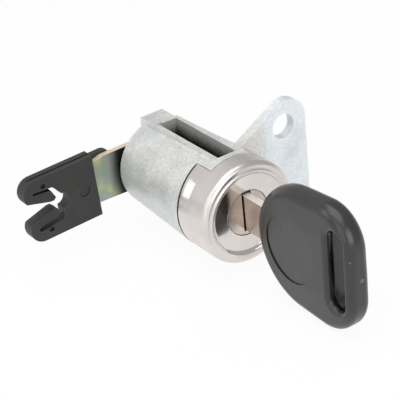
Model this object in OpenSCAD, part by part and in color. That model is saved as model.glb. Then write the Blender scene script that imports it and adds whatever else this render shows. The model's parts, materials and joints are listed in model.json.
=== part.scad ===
// Car door lock cylinder: a wafer lock in a die-cast housing, with its key, drive lever and rod clip.
// Y runs along the lock's axis, from the key to the lever. Z points to the open wafer slot.
// The origin is on the axis, at the rear edge of the cap's skirt. Millimetres.

/* [Cap] */
// Outer radius of the cap's skirt
cap_r = 12.65; // [12:0.05:14]
// Thickness of the cap's sheet
cap_t = 0.6; // [0.4:0.05:0.8]
// Height of the cap, from the skirt's rear edge to the bead's crest
cap_h = 10.7; // [9:0.1:13]
// Radius of the shoulder between the skirt and the bead
shoulder_r = 1.3; // [1:0.1:1.8]
// Inner radius of the bead, where the dish begins
dish_r = 10.0; // [9:0.1:10.2]
// Depth of the dish under the bead's crest
dish_depth = 0.8; // [0.6:0.1:1.2]
// Radius of the hole that shows the plug
cap_hole_r = 5.65; // [5.2:0.05:6]
// Length of the top notch, along the axis
notch_len = 5.2; // [4:0.1:6]
// Width of the top notch
notch_w = 11.8; // [11:0.1:14]
// Length of each crimped tab, round the skirt
crimp_len = 5; // [3:0.5:7]
// Width of each crimped tab, along the axis
crimp_w = 1.6; // [1.2:0.1:2.4]
// Depth to which the crimped tabs are pressed in
crimp_depth = 0.5; // [0.3:0.05:0.55]
// Height of the crimped tabs' middle over the axis
crimp_z = 4.2; // [0:0.1:6]

/* [Housing] */
// Length of the barrel behind the cap
barrel_len = 27; // [25:0.5:34]
// Radius of the barrel at its rear end
barrel_rear_r = 11.4; // [11:0.1:12.5]
// Radius of the rounding at the rear end
rear_round = 0.8; // [0.4:0.1:1]
// Height of the flat top over the axis
top_z = 12.7; // [12.6:0.1:14]
// Width of the wafer slot
slot_w = 4.95; // [4.6:0.05:5.4]
// Wall behind the wafer slot
slot_wall = 6.7; // [5:0.1:8]
// Width of the ribs beside the slot
rib_w = 1.0; // [0.8:0.05:1.6]
// Width that the rib on the ear's side gains towards the cap
rib_gain = 1.0; // [0:0.1:1.4]
// Wall in front of the wafer slot
slot_front_wall = 1.75; // [1.2:0.05:2]
// Radius of the plug's bore
bore_r = 6.55; // [6.5:0.05:6.8]
// Depth of the rear pocket that holds the return spring
pocket_depth = 3.9; // [3.6:0.1:4.6]
// Radius of the rear pocket
pocket_r = 9.4; // [9:0.1:9.8]
// Thickness of the web between the bore and the rear pocket
web_t = 1.6; // [1.2:0.1:2.4]
// Width of the bottom boss under the cap
boss_w = 8; // [6:0.5:10]

/* [Ear] */
// Thickness of the ear
ear_t = 2.5; // [2.2:0.1:4]
// Distance of the ear's holes from the axis
ear_x = 19.6; // [18.5:0.1:22]
// Height of the upper hole over the axis
ear_z = 11.2; // [10:0.1:13]
// Distance between the two holes
ear_pitch = 19.2; // [17:0.1:22]
// Radius of the holes
ear_hole_r = 3.15; // [2.6:0.05:3.6]
// Wall beside the holes, at the ear's outer side
ear_wall = 3.55; // [2.6:0.05:4]
// Wall past the holes, at the ear's two ends
ear_end_wall = 3.2; // [2.8:0.05:4.5]
// Radius of the ear's corners
ear_corner_r = 5.4; // [4:0.1:6]
// Radius of the fillet between the ear and the rib
ear_fillet_r = 2.0; // [1:0.1:2.5]

/* [Plug] */
// Radius of the tail
tail_r = 4.0; // [3.6:0.1:4.4]
// Width over the tail's two flats
tail_flats = 5.6; // [5:0.1:6.4]
// Gap between the key slot and each side of the blade
key_gap = 0.3; // [0.2:0.05:0.4]
// Gap between the key slot and each edge of the blade
key_edge_gap = 0.25; // [0.2:0.05:0.3]
// Wall of the plug behind the blade's tip
tip_wall = 1.8; // [1.2:0.1:3]
// Height of the key slot's middle over the axis
key_slot_z = 0.3; // [0:0.1:0.3]

/* [Wafers] */
// Number of wafers
wafer_n = 8; // [4:1:8]
// Distance from each end of the wafer slot to the nearest wafer's middle
wafer_inset = 2.4; // [2:0.1:3]
// Thickness of a wafer
wafer_t = 1.0; // [0.8:0.05:1.1]
// Width of a wafer
wafer_w = 4.5; // [4.3:0.05:4.6]
// Reach of a wafer's spring ear past its side
wafer_ear = 1.7; // [1.5:0.05:1.8]
// Radius of a wafer spring's coil, to the outside
coil_r = 0.8; // [0.7:0.02:0.84]
// Radius of a wafer spring's wire
coil_wire_r = 0.13; // [0.1:0.01:0.15]
// Turns of a wafer spring
coil_turns = 4; // [3:1:5]

/* [Key] */
// Thickness of the blade
blade_t = 2.0; // [1.8:0.05:2.2]
// Height of the blade
blade_h = 9.1; // [8.6:0.1:9.2]
// Length of the blade inside the head
blade_bed = 9; // [6:0.5:12]
// Length of the blade's tapered tip
blade_tip = 2.2; // [1:0.1:3]
// Depth of the shallowest bitting cut
cut_first = 0.5; // [0.3:0.05:0.7]
// Step from one bitting depth to the next
cut_step = 0.35; // [0.2:0.05:0.4]
// Gap between the cap's crest and the key head
head_gap = 5.9; // [4:0.1:8]
// Thickness of the key head
head_t = 6.4; // [5.8:0.1:8]
// Length of the key head
head_len = 32.1; // [30:0.1:36]
// Height of the head's top edge over the axis
head_top = 15.5; // [14:0.1:17]
// Depth of the head's lower edge under the axis
head_low = 15.3; // [14:0.1:17]
// Radius of the head's round front, by the blade
head_front_r = 14.9; // [13:0.1:15]
// Radius of the head's upper rear corner
head_top_r = 9.2; // [6:0.1:10]
// Radius of the head's lower rear corner
head_low_r = 9.3; // [6:0.1:10]
// Radius of the key head's rounded edge
head_edge = 2.4; // [1.5:0.1:2.8]
// Radius of the round recess in each side
recess_r = 8.1; // [6:0.1:8.5]
// Depth of the round recess
recess_depth = 0.35; // [0.2:0.05:0.5]
// Distance from the head's front edge to the recess's middle
recess_in = 12.2; // [11:0.1:14]
// Drop of the recess's middle under the axis
recess_drop = 0.3; // [0:0.1:1]
// Width of the key ring slot
ring_w = 5.0; // [4.3:0.1:5.2]
// Length of the key ring slot
ring_len = 20; // [16:0.5:20.5]
// Rise of the key ring slot's middle over the axis
ring_rise = 0.5; // [0:0.1:1]
// Distance from the head's rear edge to the key ring slot's middle
ring_in = 4.5; // [4.3:0.1:6]

/* [Lever and clip] */
// Thickness of the lever
lever_t = 1.5; // [1.2:0.1:2]
// Width of the lever
lever_w = 12.6; // [11:0.2:13]
// Distance from the axis to the clip's pin
lever_reach = 21.4; // [21:0.1:24]
// Drop of the clip's pin under the axis
lever_drop = 0.6; // [0:0.1:1]
// Height of the clip
clip_h = 16.6; // [15:0.2:18]
// Thickness of the clip
clip_t = 3.3; // [3.2:0.1:3.8]
// Angle by which the clip leans down
clip_tilt = 2.5; // [0:0.5:4]
// Reach of the clip past its pin, on the lever's side
clip_right = 3.5; // [3.5:0.1:5]
// Reach of the clip past its pin, on the rod's side
clip_left = 16; // [15:0.1:18]
// Radius of the prongs' round ends
prong_r = 3.5; // [3:0.1:3.8]
// Distance from the pin to the rod seat's middle
seat_x = 6.5; // [6.3:0.1:7.5]
// Width of the slit that frees the upper tongue
slit_top_w = 0.55; // [0.4:0.05:0.8]
// Width of the slit that frees the lower tongue
slit_low_w = 1.2; // [0.8:0.05:1.4]
// Radius of the rod's seat in the clip
seat_r = 2.15; // [1.9:0.05:2.3]
// Radius of the clip's pin
pin_r = 1.5; // [1.2:0.05:1.8]

/* [Fits] */
// Gap around a piece that turns or slides in another
run_gap = 0.05; // [0.04:0.01:0.08]
// Gap around a loose piece
loose_gap = 0.15; // [0.1:0.01:0.2]
// Gap between the cap's edge and the barrel
edge_gap = 0.3; // [0.2:0.05:0.5]

/* [Hidden] */
wafer_names = [for (i = [1:wafer_n]) str("wafer_", i)];
coil_names = [for (i = [1:wafer_n]) str("wafer_spring_", i)];
$fn = 48;
eps = 0.02;

// Places along the axis
crest_y = -cap_h;
dish_y = crest_y + dish_depth;
dish_back_y = dish_y + cap_t;
plug_face_y = dish_y + loose_gap;
plug_shoulder_y = dish_back_y + edge_gap;
seal_t = 0.7;
spigot_y = dish_back_y + seal_t + run_gap;
barrel_y = edge_gap;
barrel_end_y = barrel_y + barrel_len;
pocket_y = barrel_end_y - pocket_depth;
web_y = pocket_y - web_t;
plug_end_y = web_y - loose_gap;
slot_y = -notch_len + slot_front_wall;
slot_end_y = barrel_end_y - slot_wall;
washer_t = 0.6;
washer_y = barrel_end_y + loose_gap;
lever_y = washer_y + washer_t + loose_gap;
ring_y = lever_y + lever_t + loose_gap;
ring_t = 0.8;
tail_end_y = ring_y + ring_t + 1.2;
ear_y = barrel_y + 0.4;

// Radii
cap_in_r = cap_r - cap_t;
spigot_r = cap_in_r - loose_gap;
plug_r = bore_r - run_gap;
nose_r = cap_hole_r - loose_gap;
barrel_r = cap_r + run_gap;
ring_groove_r = tail_r - 0.8;

// Key slot
key_slot_w = blade_t + 2 * key_gap;
key_slot_h = blade_h + 2 * key_edge_gap;

// Ear: its upper corner, and its root in the barrel's wall
ear_corner = [ear_x + ear_hole_r + ear_wall - ear_corner_r, ear_z + ear_hole_r + ear_end_wall - ear_corner_r];
ear_root = [bore_r, 8];
ear_root_r = 1.9;

// Key
blade_tip_y = plug_end_y - tip_wall;
head_y = crest_y - head_gap;
head_end_y = head_y - head_len;

// Wafers
wafer_y0 = slot_y + wafer_inset;
wafer_pitch = (slot_end_y - slot_y - 2 * wafer_inset) / (wafer_n - 1);
wafer_tip_r = plug_r - loose_gap;
window_w = key_slot_w;
window_h = key_slot_h + 0.1;
coil_x = wafer_w / 2 + coil_r + 0.12;
well_r = coil_r + 0.1;
ear_drop = 0.5;
ear_h = 1.2;
coil_len = 3.6;

// Clip: its front face, the tongue behind the lever, and the heights of its mouth and slits
clip_y = lever_y - 1.0;
clip_floor = 1.4;
tongue_len = 6.6;
tongue_high = 7.0;
tongue_low = 4.4;
tongue_r = 2.6;
mouth_half = 1.15;
mouth_flare = 2.25;
mouth_end = -seat_x - 2.8;
prong_x = prong_r - clip_left;
prong_z = clip_h / 2 - prong_r;
channel_r = 0.4;
slit_top = [[prong_x - 0.85, prong_z + 0.05, slit_top_w / 2], [-seat_x - 2, seat_r + 2.2, channel_r],
    [-seat_x - 0.6, seat_r + 0.1, 2 * channel_r]];
slit_low = [[prong_x - 0.6, -prong_z - 0.15, slit_low_w / 2], [-seat_x - 0.8, -seat_r - 1.75, 0.75 * slit_low_w],
    [-seat_x - 0.5, -seat_r + 0.4, slit_low_w / 2]];
dimple_r = 0.65;
dimple_depth = 0.4;

// Lever: where it starts to narrow, the throat in the clip's mouth, the end's radius, and the spring tab
waist = [6.6 - lever_reach, 0];
waist_w = lever_w - 0.6;
throat = [3.1 - lever_reach, -0.6];
throat_w = lever_w - 1.7;
lever_end_r = 2.6;
tab_len = 1.2;

// Carry a shape drawn along Z to the lock's axis, starting at y
module along(y) {
    translate([0, y, 0])
        rotate([-90, 0, 0])
            children();
}

// A flat plate across the axis, from y to y + t, drawn as x and z
module across(y, t) {
    translate([0, y + t, 0])
        rotate([90, 0, 0])
            linear_extrude(t)
                children();
}

// A block from low x, y, z to high x, y, z
module block(low, high) {
    translate(low)
        cube(high - low);
}

// Housing: barrel, ribs, pad and ear in one casting
module barrel_solid() {
    along(spigot_y)
        cylinder(r = spigot_r, h = barrel_y - spigot_y + eps, $fn = 96);
    along(barrel_y)
        cylinder(r1 = barrel_r, r2 = barrel_rear_r, h = barrel_len - rear_round, $fn = 96);
    along(barrel_end_y - rear_round - eps)
        cylinder(r1 = barrel_rear_r, r2 = barrel_rear_r - rear_round, h = rear_round + eps, $fn = 96);
}

// Ribs beside the slot and the pad behind it, wider towards the cap on the ear's side
module rib_block() {
    half = slot_w / 2 + rib_w;
    rib_low = bore_r + 1;
    translate([0, 0, rib_low])
        linear_extrude(top_z - rib_low)
            polygon([[-half, slot_y - 0.5], [half + rib_gain, slot_y - 0.5], [half, slot_end_y + 1],
                [-half, slot_end_y + 1]]);
    block([-half, slot_end_y, rib_low], [half - rib_w / 2, barrel_end_y, top_z - 0.1]);
}

// Part of the barrel that fills the cap's top notch
module notch_fill() {
    intersection() {
        along(-notch_len + loose_gap)
            cylinder(r = barrel_r, h = notch_len + 1, $fn = 96);
        block([-notch_w / 2 + loose_gap, -notch_len, bore_r], [notch_w / 2 - loose_gap, barrel_y + eps, cap_r + 1]);
    }
}

module bottom_boss() {
    block([-boss_w / 2, -notch_len + loose_gap, -cap_r], [boss_w / 2, barrel_y + 2, -bore_r - 1]);
}

// Corner fillet between the rib's side and the ear's sloping edge, tangent to both
module ear_fillet() {
    run = ear_corner - ear_root;
    slope = atan2(run[1], run[0]) + asin((ear_corner_r - ear_root_r) / norm(run));
    normal = [-sin(slope), cos(slope)];
    edge = ear_root + ear_root_r * normal;
    side = slot_w / 2 + rib_w + rib_gain;
    x = side + ear_fillet_r;
    z = edge[1] + (ear_fillet_r - normal[0] * (x - edge[0])) / normal[1];
    difference() {
        polygon([[side - 1, z], [side - 1, ear_root[1]], ear_root, [x, z] - ear_fillet_r * normal, [x, z]]);
        translate([x, z])
            circle(r = ear_fillet_r);
    }
}

module ear_outline() {
    low_hole = ear_z - ear_pitch;
    difference() {
        union() {
            hull() {
                translate(ear_corner)
                    circle(r = ear_corner_r);
                translate([ear_corner[0], low_hole + ear_z - ear_corner[1]])
                    circle(r = ear_corner_r);
                translate(ear_root)
                    circle(r = ear_root_r);
                translate([ear_root[0], 1 - ear_root[1]])
                    circle(r = ear_root_r);
            }
            ear_fillet();
        }
        for (z = [ear_z, low_hole])
            translate([ear_x, z])
                circle(r = ear_hole_r);
    }
}

module housing() {
    color([0.72, 0.74, 0.75])
        difference() {
            union() {
                barrel_solid();
                rib_block();
                notch_fill();
                bottom_boss();
                across(ear_y, ear_t)
                    ear_outline();
            }
            along(spigot_y - 1)
                cylinder(r = bore_r, h = web_y - spigot_y + 1, $fn = 96);
            along(web_y - 1)
                cylinder(r = tail_r + run_gap, h = web_t + 2);
            along(pocket_y)
                cylinder(r = pocket_r, h = pocket_depth + 1, $fn = 96);
            block([-slot_w / 2, slot_y, 0], [slot_w / 2, slot_end_y, top_z + 1]);
            block([-slot_w / 2, slot_y, -bore_r - 2.6], [slot_w / 2, slot_end_y, 0]);
            slot_nick();
            rib_groove();
            intersection() {
                crimp_zone(2 * edge_gap);
                skirt_ring(crimp_depth, loose_gap);
            }
        }
    color([0.72, 0.74, 0.75])
        spring_post();
}

// Small nick in the slot's rear edge, on the side away from the ear
module slot_nick() {
    nick = 1.1;
    block([-slot_w / 2, slot_end_y - eps, top_z - nick], [-slot_w / 2 + nick, slot_end_y + nick / 2, top_z + 1]);
}

// Shallow round groove along the foot of the rib, on the side away from the ear
module rib_groove() {
    groove_r = 0.9;
    groove_depth = 0.15;
    x = -slot_w / 2 - rib_w - groove_r;
    z = sqrt(pow(barrel_r, 2) - x * x) + groove_r - groove_depth;
    drop = atan((barrel_r - barrel_rear_r) / barrel_len);
    translate([x, slot_y, z + (barrel_y - slot_y) * tan(drop)])
        rotate([-90 - drop, 0, 0])
            cylinder(r = groove_r, h = 2 * barrel_len, $fn = 32);
}

// Post in the rear pocket that the return spring's legs close on
module spring_post() {
    intersection() {
        block([-post_w / 2, pocket_y - eps, -pocket_r - 0.5], [post_w / 2, pocket_y + post_len, -leg_r + 0.9]);
        along(pocket_y - eps)
            cylinder(r = pocket_r + 0.3, h = pocket_depth);
    }
}

// Cap: one profile turned round the axis, with a shoulder, a groove, a bead and a dish
module cap_profile() {
    bead_r = 0.45;
    groove = 0.25;
    shoulder_y = cap_h - groove - shoulder_r;
    difference() {
        union() {
            square([cap_r, shoulder_y]);
            square([cap_r - shoulder_r, cap_h - groove]);
            translate([cap_r - shoulder_r, shoulder_y])
                circle(r = shoulder_r);
            translate([dish_r + bead_r, cap_h - bead_r])
                circle(r = bead_r);
        }
        square([cap_in_r, cap_h - dish_depth - cap_t]);
        square([cap_hole_r, cap_h + 1]);
        translate([0, cap_h - dish_depth])
            square([dish_r, dish_depth + 1]);
    }
}

// Stretch of the skirt's rear edge that is pressed in on each side, with room round it
module crimp_zone(room) {
    for (side = [0, 1])
        mirror([side, 0, 0])
            block([-cap_r - 1, -crimp_w - room, crimp_z - crimp_len / 2 - room],
                [-cap_r / 2, 1, crimp_z + crimp_len / 2 + room]);
}

// Ring of the skirt's section, moved in by depth
module skirt_ring(depth, room) {
    rotate([90, 0, 0])
        difference() {
            cylinder(r = cap_r - depth + room, h = crimp_w, $fn = 120);
            translate([0, 0, -1])
                cylinder(r = cap_in_r - depth - room, h = crimp_w + 2, $fn = 120);
        }
}

module face_cap() {
    color([0.80, 0.75, 0.73])
        difference() {
            union() {
                difference() {
                    rotate([90, 0, 0])
                        rotate_extrude($fn = 120)
                            cap_profile();
                    crimp_zone(edge_gap);
                }
                intersection() {
                    skirt_ring(crimp_depth, 0);
                    crimp_zone(edge_gap + eps);
                }
            }
            block([-notch_w / 2, -notch_len, 0], [notch_w / 2, 1, cap_r + 1]);
            block([-boss_w / 2 - loose_gap, -notch_len, -cap_r - 1], [boss_w / 2 + loose_gap, 1, 0]);
        }
}

module face_seal() {
    color([0.10, 0.10, 0.10])
        along(dish_back_y)
            difference() {
                cylinder(r = spigot_r - 0.4, h = seal_t, $fn = 96);
                translate([0, 0, -1])
                    cylinder(r = bore_r + 0.8, h = seal_t + 2);
            }
}

// Plug: nose, barrel and tail, with the key slot, wafer slots and spring wells
function wafer_y(i) = wafer_y0 + i * wafer_pitch;
function wafer_up(i) = i % 2;

module plug() {
    color([0.78, 0.74, 0.66])
        difference() {
            union() {
                along(plug_face_y)
                    cylinder(r = nose_r, h = plug_shoulder_y - plug_face_y + eps, $fn = 96);
                along(plug_shoulder_y)
                    cylinder(r = plug_r, h = plug_end_y - plug_shoulder_y, $fn = 96);
                along(plug_end_y - eps)
                    cylinder(r = tail_r, h = lever_y - plug_end_y + eps);
                intersection() {
                    along(lever_y - 1)
                        cylinder(r = tail_r, h = tail_end_y - lever_y + 1);
                    block([-tail_flats / 2, lever_y - 1, -tail_r], [tail_flats / 2, tail_end_y, tail_r]);
                }
            }
            block([-key_slot_w / 2, plug_face_y - 1, key_slot_z - key_slot_h / 2],
                [key_slot_w / 2, blade_tip_y + 0.6, key_slot_z + key_slot_h / 2]);
            for (i = [0:wafer_n - 1])
                mirror([0, 0, wafer_up(i)])
                    wafer_slot(i);
            shutter_bay();
            along(ring_y - run_gap)
                difference() {
                    cylinder(r = tail_r + 1, h = ring_t + 2 * run_gap);
                    translate([0, 0, -1])
                        cylinder(r = ring_groove_r, h = ring_t + 3);
                }
        }
}

module wafer_slot(i) {
    half = wafer_t / 2 + run_gap;
    y = wafer_y(i);
    block([-wafer_w / 2 - run_gap, y - half, -plug_r - 1], [wafer_w / 2 + run_gap, y + half, plug_r + 1]);
    block([0, y - half, -ear_drop - ear_h], [coil_x + well_r, y + half, plug_r]);
    translate([coil_x, y, -ear_drop - coil_len - loose_gap])
        cylinder(r = well_r, h = plug_r + 6, $fn = 24);
}

module wafer(i) {
    color([0.80, 0.62, 0.28])
        mirror([0, 0, wafer_up(i)])
            difference() {
                intersection() {
                    across(wafer_y(i) - wafer_t / 2, wafer_t)
                        union() {
                            square([wafer_w, 2 * plug_r], center = true);
                            translate([0, -ear_drop])
                                square([wafer_w / 2 + wafer_ear, ear_h]);
                        }
                    along(wafer_y(i) - wafer_t)
                        cylinder(r = wafer_tip_r, h = 2 * wafer_t);
                }
                across(wafer_y(i) - wafer_t, 2 * wafer_t)
                    translate([0, (1 - 2 * wafer_up(i)) * key_slot_z])
                        square([window_w, window_h], center = true);
            }
}

// Coil springs: rings of points carried along a helix, closed at both ends
ring_sides = 6;
coil_steps = 12;
function ring_pts(c, t, r) =
    let (d = t / norm(t),
        u = abs(d[2]) < 0.9 ? cross([0, 0, 1], d) : cross([1, 0, 0], d),
        a = u / norm(u),
        b = cross(d, a))
    [for (k = [0:ring_sides - 1]) c + r * (cos(360 * k / ring_sides) * a + sin(360 * k / ring_sides) * b)];

module wire(path, r) {
    n = len(path);
    tangent = [for (i = [0:n - 1]) path[min(i + 1, n - 1)] - path[max(i - 1, 0)]];
    points = [for (i = [0:n - 1]) each ring_pts(path[i], tangent[i], r)];
    sides = [for (i = [0:n - 2], k = [0:ring_sides - 1])
        let (m = (k + 1) % ring_sides, p = i * ring_sides, q = p + ring_sides)
        [p + m, q + m, q + k, p + k]];
    ends = [[for (k = [0:ring_sides - 1]) ring_sides - 1 - k],
        [for (k = [0:ring_sides - 1]) (n - 1) * ring_sides + k]];
    polyhedron(points, concat(sides, ends), convexity = 10);
}

module wafer_spring(i) {
    mean_r = coil_r - coil_wire_r;
    steps = coil_turns * coil_steps;
    rise = coil_len - 2 * coil_wire_r - 0.05;
    z0 = -ear_drop - coil_len + coil_wire_r;
    path = [for (s = [0:steps])
        [coil_x + mean_r * cos(360 * s / coil_steps), wafer_y(i) + mean_r * sin(360 * s / coil_steps),
            z0 + rise * s / steps]];
    color([0.75, 0.76, 0.78])
        mirror([0, 0, wafer_up(i)])
            wire(path, coil_wire_r);
}

// Shutter: a flap folded against the slot's side by the key
flap_t = 0.5;
flap_len = 4.4;
flap_h = key_slot_h - 1.2;
flap_pin_r = 0.45;
flap_pin_x = -key_slot_w / 2 - flap_pin_r - 0.35;
flap_pin_y = plug_shoulder_y + 1.2;

module shutter_bay() {
    z0 = key_slot_z;
    block([flap_pin_x - flap_t - 0.35, flap_pin_y - 0.9, z0 - flap_h / 2 - loose_gap],
        [0, flap_pin_y + flap_len + 0.4, z0 + flap_h / 2 + loose_gap]);
    translate([flap_pin_x, flap_pin_y, -plug_r])
        cylinder(r = flap_pin_r + run_gap, h = 2 * plug_r, $fn = 24);
}

module shutter_flap() {
    color([0.62, 0.63, 0.65])
        translate([flap_pin_x, flap_pin_y, key_slot_z - flap_h / 2])
            difference() {
                union() {
                    cylinder(r = flap_pin_r + 0.3, h = flap_h, $fn = 24);
                    block([-flap_pin_r - 0.3, 0, 0], [-flap_pin_r - 0.3 + flap_t, flap_len, flap_h]);
                }
                translate([0, 0, -1])
                    cylinder(r = flap_pin_r + run_gap, h = flap_h + 2, $fn = 24);
            }
}

module shutter_pin() {
    reach = sqrt(pow(plug_r, 2) - pow(flap_pin_x - flap_pin_r, 2)) - loose_gap;
    color([0.70, 0.71, 0.73])
        translate([flap_pin_x, flap_pin_y, -reach])
            cylinder(r = flap_pin_r, h = 2 * reach, $fn = 24);
}

// Key
module key_blade() {
    z0 = key_slot_z;
    tip = blade_tip;
    color([0.78, 0.77, 0.75])
        difference() {
            translate([-blade_t / 2, 0, 0])
                rotate([90, 0, 90])
                    linear_extrude(blade_t)
                        polygon([[head_y - blade_bed, z0 - blade_h / 2], [blade_tip_y - tip, z0 - blade_h / 2],
                            [blade_tip_y, z0 - blade_h / 2 + tip], [blade_tip_y, z0 + blade_h / 2 - tip],
                            [blade_tip_y - tip, z0 + blade_h / 2], [head_y - blade_bed, z0 + blade_h / 2]]);
            for (i = [0:wafer_n - 1])
                key_cut(i);
        }
}

// Bitting cut on the edge that a wafer rides, four depths in turn
function cut_depth(i) = cut_first + cut_step * ((3 * i + 1) % 4);

module key_cut(i) {
    depth = cut_depth(i);
    edge = blade_h / 2;
    flat = wafer_t * 0.7;
    translate([-blade_t, wafer_y(i), key_slot_z])
        mirror([0, 0, wafer_up(i)])
            rotate([90, 0, 90])
                linear_extrude(2 * blade_t)
                    polygon([[-flat - depth, edge + eps], [-flat, edge - depth], [flat, edge - depth],
                        [flat + depth, edge + eps]]);
}

// Key head: a round front and two round rear corners, each given by its centre and radius, joined into
// one soft slab
head_corners = [[head_y - head_front_r, 0, head_front_r],
    [head_end_y + head_top_r, head_top - head_top_r, head_top_r],
    [head_end_y + head_low_r, head_low_r - head_low, head_low_r]];
recess_y = head_y - recess_in;
ring_y0 = head_end_y + ring_in;

module head_puck(r) {
    rotate_extrude($fn = 40)
        union() {
            translate([0, -head_t / 2])
                square([r - head_edge, head_t]);
            translate([0, -head_t / 2 + head_edge])
                square([r, head_t - 2 * head_edge]);
            for (side = [-1, 1])
                translate([r - head_edge, side * (head_t / 2 - head_edge)])
                    circle(r = head_edge, $fn = 20);
        }
}

module key_head() {
    color([0.20, 0.20, 0.20])
        difference() {
            rotate([0, 90, 0])
                hull()
                    for (c = head_corners)
                        translate([-c[1], c[0], 0])
                            head_puck(c[2]);
            for (side = [-1, 1])
                translate([side * head_t / 2, recess_y, -recess_drop])
                    rotate([0, 90, 0])
                        cylinder(r = recess_r, h = 2 * recess_depth, center = true, $fn = 64);
            rotate([0, 90, 0])
                linear_extrude(3 * head_t, center = true)
                    hull()
                        for (end = [-1, 1])
                            translate([end * (ring_len - ring_w) / 2 - ring_rise, ring_y0])
                                circle(r = ring_w / 2);
            block([-blade_t / 2, head_y - blade_bed, key_slot_z - blade_h / 2],
                [blade_t / 2, crest_y, key_slot_z + blade_h / 2]);
        }
}

// Return spring: three turns round the tail, both legs closing on the post and the lever's tab
spring_wire_r = 0.4;
spring_mean_r = 6.0;
spring_turns = 3;
leg_r = 8.0;
post_w = 2.4;
post_len = 1.7;
leg_x = post_w / 2 + spring_wire_r + run_gap;

module return_spring() {
    steps = 20;
    turn0 = asin(leg_x / spring_mean_r);
    sweep = 360 * spring_turns - 2 * turn0;
    y0 = pocket_y + spring_wire_r + loose_gap;
    rise = 2.4;
    y1 = y0 + rise;
    coil = [for (s = [0:spring_turns * steps])
        let (a = -90 + turn0 + sweep * s / (spring_turns * steps))
        [spring_mean_r * cos(a), y0 + rise * s / (spring_turns * steps), spring_mean_r * sin(a)]];
    first_leg = [[leg_x, y1, -leg_r], [leg_x, y0 + 0.5, -leg_r], [leg_x, y0, -leg_r + 0.5]];
    last_leg = [[-leg_x, y1, -leg_r + 0.5], [-leg_x, y1 - 0.5, -leg_r], [-leg_x, y0, -leg_r]];
    color([0.55, 0.56, 0.58])
        wire(concat(first_leg, coil, last_leg), spring_wire_r);
}

module spring_washer() {
    color([0.70, 0.70, 0.70])
        along(washer_y)
            difference() {
                cylinder(r = pocket_r + 0.6, h = washer_t, $fn = 96);
                translate([0, 0, -1])
                    cylinder(r = tail_r + run_gap, h = washer_t + 2);
                translate([-post_w / 2 - 1, leg_r - 1.6, -1])
                    cube([post_w + 2, 6, washer_t + 2]);
            }
}

// Drive lever: a pressed strip with a flatted hole, a tab for the spring and a pin hole
tab_low = leg_r + 0.7;

// Narrow end of the lever, with room round it
module lever_end(room) {
    low = waist[1] - waist_w / 2 - room;
    high = waist[1] + waist_w / 2 + room;
    throat_high = throat[1] + throat_w / 2 + room;
    polygon([[waist[0], low], [waist[0], high], [throat[0], throat_high], [throat[0], low]]);
    hull() {
        polygon([[throat[0] + eps, low], [throat[0] + eps, throat_high], [throat[0] - 1, throat_high - 1.5],
            [throat[0] - 1, low + 1.5]]);
        translate([-lever_reach, -lever_drop])
            circle(r = lever_end_r + room);
    }
}

module lever_outline() {
    difference() {
        union() {
            hull() {
                circle(r = lever_w / 2);
                translate(waist)
                    square([2 * eps, waist_w], center = true);
            }
            lever_end(0);
            translate([-post_w / 2, -tab_low])
                square([post_w, leg_r]);
        }
        intersection() {
            circle(r = tail_r + run_gap);
            square([tail_flats + 2 * run_gap, 3 * tail_r], center = true);
        }
        translate([-lever_reach, -lever_drop])
            circle(r = pin_r + run_gap);
    }
}

module drive_lever() {
    color([0.80, 0.72, 0.45])
        union() {
            across(lever_y, lever_t)
                lever_outline();
            block([-post_w / 2, pocket_y + post_len + edge_gap, -tab_low],
                [post_w / 2, lever_y + eps, -tab_low + tab_len]);
        }
}

module lever_clip() {
    color([0.35, 0.36, 0.38])
        along(ring_y)
            difference() {
                cylinder(r = tail_r + 1.4, h = ring_t);
                translate([0, 0, -1])
                    cylinder(r = ring_groove_r + run_gap, h = ring_t + 2);
                translate([-1.6, -tail_r - 3, -1])
                    cube([3.2, tail_r + 3, ring_t + 2]);
            }
}

// Rod clip: fork with two sprung tongues, a round seat, and a pocket for the lever
module clip_place() {
    translate([-lever_reach, 0, -lever_drop])
        rotate([0, -clip_tilt, 0])
            children();
}

// Open path of a cutter, given as places with a radius
module cut_path(path) {
    for (i = [1:len(path) - 1])
        hull()
            for (p = [path[i - 1], path[i]])
                translate([p[0], p[1]])
                    circle(r = p[2], $fn = 24);
}

module clip_outline() {
    half = clip_h / 2;
    difference() {
        union() {
            translate([prong_x, -half])
                square([clip_right - prong_x, clip_h]);
            for (side = [-1, 1])
                translate([prong_x, side * prong_z])
                    circle(r = prong_r);
        }
        translate([-seat_x, 0])
            circle(r = seat_r);
        polygon([[-clip_left - 1, mouth_half + mouth_flare], [mouth_end, mouth_half], [-seat_x, mouth_half],
            [-seat_x, -mouth_half], [mouth_end, -mouth_half], [-clip_left - 1, -mouth_half - mouth_flare]]);
        cut_path(slit_top);
        cut_path(slit_low);
    }
}

module rod_clip() {
    color([0.16, 0.16, 0.155])
        difference() {
            union() {
                clip_place()
                    across(clip_y, clip_t)
                        clip_outline();
                clip_place()
                    across(lever_y + lever_t + loose_gap, clip_floor)
                        hull() {
                            translate([clip_right - 1, -tongue_low])
                                square([1, tongue_high + tongue_low]);
                            for (z = [tongue_high - tongue_r, tongue_r - tongue_low])
                                translate([clip_right + tongue_len - tongue_r, z])
                                    circle(r = tongue_r);
                        }
            }
            across(lever_y - loose_gap, lever_t + 2 * loose_gap)
                lever_end(loose_gap);
            along(clip_y - 1)
                translate([-lever_reach, lever_drop, 0])
                    cylinder(r = pin_r + run_gap, h = clip_t + 3);
            clip_place()
                for (side = [-1, 1])
                    along(clip_y - 1)
                        translate([prong_x + 1.9, side * prong_z + side * 1.2, 0])
                            cylinder(r = dimple_r, h = 1 + dimple_depth, $fn = 24);
        }
}

module clip_pin() {
    color([0.18, 0.18, 0.18])
        along(clip_y + 0.2)
            translate([-lever_reach, lever_drop, 0])
                cylinder(r = pin_r, h = clip_t - 0.4);
}

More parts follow.
